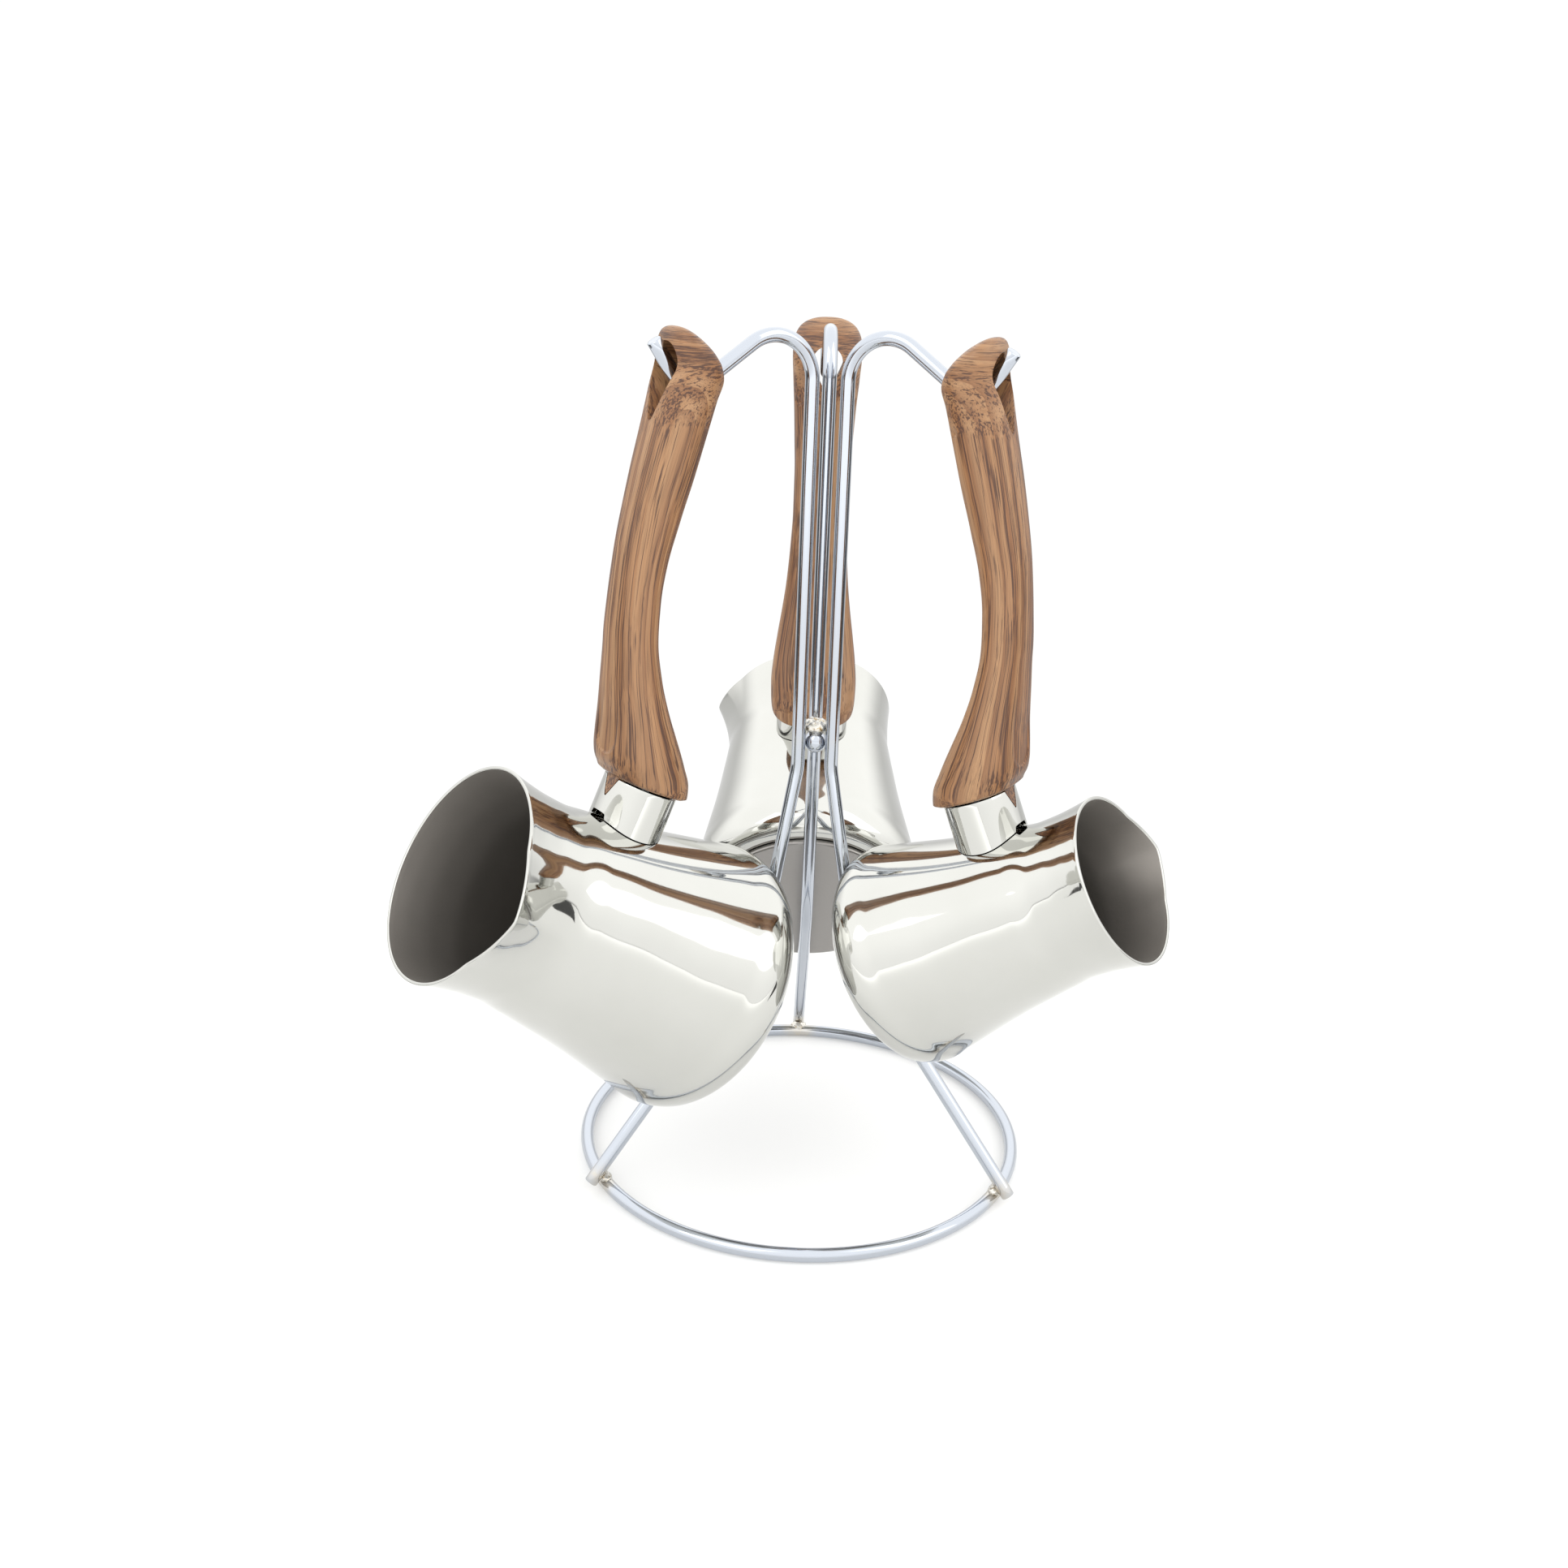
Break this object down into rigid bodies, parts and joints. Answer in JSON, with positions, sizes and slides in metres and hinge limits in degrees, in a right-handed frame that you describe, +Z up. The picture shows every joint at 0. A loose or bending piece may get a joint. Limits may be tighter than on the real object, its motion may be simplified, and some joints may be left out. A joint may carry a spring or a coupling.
{
  "type": "mug tree",
  "caption": "Chromed wire mug tree: bent rods rise from a round base ring to outward hooks, and long-handled coffee pots hang on them by slots in their handles.",
  "frame": {"origin": "floor level, under the middle of the bounding box; the stand axis is at x 0.0099 m, y -0.0157 m", "axes": "+Z up, the front faces -Y, the rear hook points along +Y"},
  "size_m": [0.2706, 0.259, 0.312],
  "materials": {
    "chromed_wire": "bright chrome-plated steel wire",
    "polished_steel": "mirror-polished stainless steel",
    "satin_steel": "satin-brushed stainless steel",
    "wood_print_bakelite": "bakelite with a wood-grain film print",
    "heat_tinted_weld": "weld bead with straw heat tint",
    "zinc_plated_steel": "zinc plated"
  },
  "bodies": {
    "stand": {"base_ring": "chromed_wire", "waist_ball": "chromed_wire", "waist_weld": "heat_tinted_weld", "rod_left": "chromed_wire", "rod_right": "chromed_wire", "rod_rear": "chromed_wire", "foot_weld_left": "heat_tinted_weld", "foot_weld_right": "heat_tinted_weld", "foot_weld_rear": "heat_tinted_weld"},
    "hung_pot_left": {"pot_left": "polished_steel", "base_disc_left": "satin_steel", "sleeve_left": "polished_steel", "tongue_left": "zinc_plated_steel", "handle_left": "wood_print_bakelite"},
    "hung_pot_right": {"pot_right": "polished_steel", "base_disc_right": "satin_steel", "sleeve_right": "polished_steel", "tongue_right": "zinc_plated_steel", "handle_right": "wood_print_bakelite"},
    "hung_pot_rear": {"pot_rear": "polished_steel", "base_disc_rear": "satin_steel", "sleeve_rear": "polished_steel", "tongue_rear": "zinc_plated_steel", "handle_rear": "wood_print_bakelite"}
  },
  "joints": [
    {"name": "swing_left", "type": "hinge", "parent": "stand", "child": "hung_pot_left", "pos_m": [-0.03011, -0.03833, 0.299], "axis": [-0.5592, 0.829, 0], "range_deg": [0, 22]},
    {"name": "swing_right", "type": "hinge", "parent": "stand", "child": "hung_pot_right", "pos_m": [0.04961, -0.03869, 0.299], "axis": [-0.5, -0.866, 0], "range_deg": [0, 22]},
    {"name": "swing_rear", "type": "hinge", "parent": "stand", "child": "hung_pot_rear", "pos_m": [0.00986, 0.03016, 0.299], "axis": [1, 0, 0], "range_deg": [0, 22]}
  ]
}
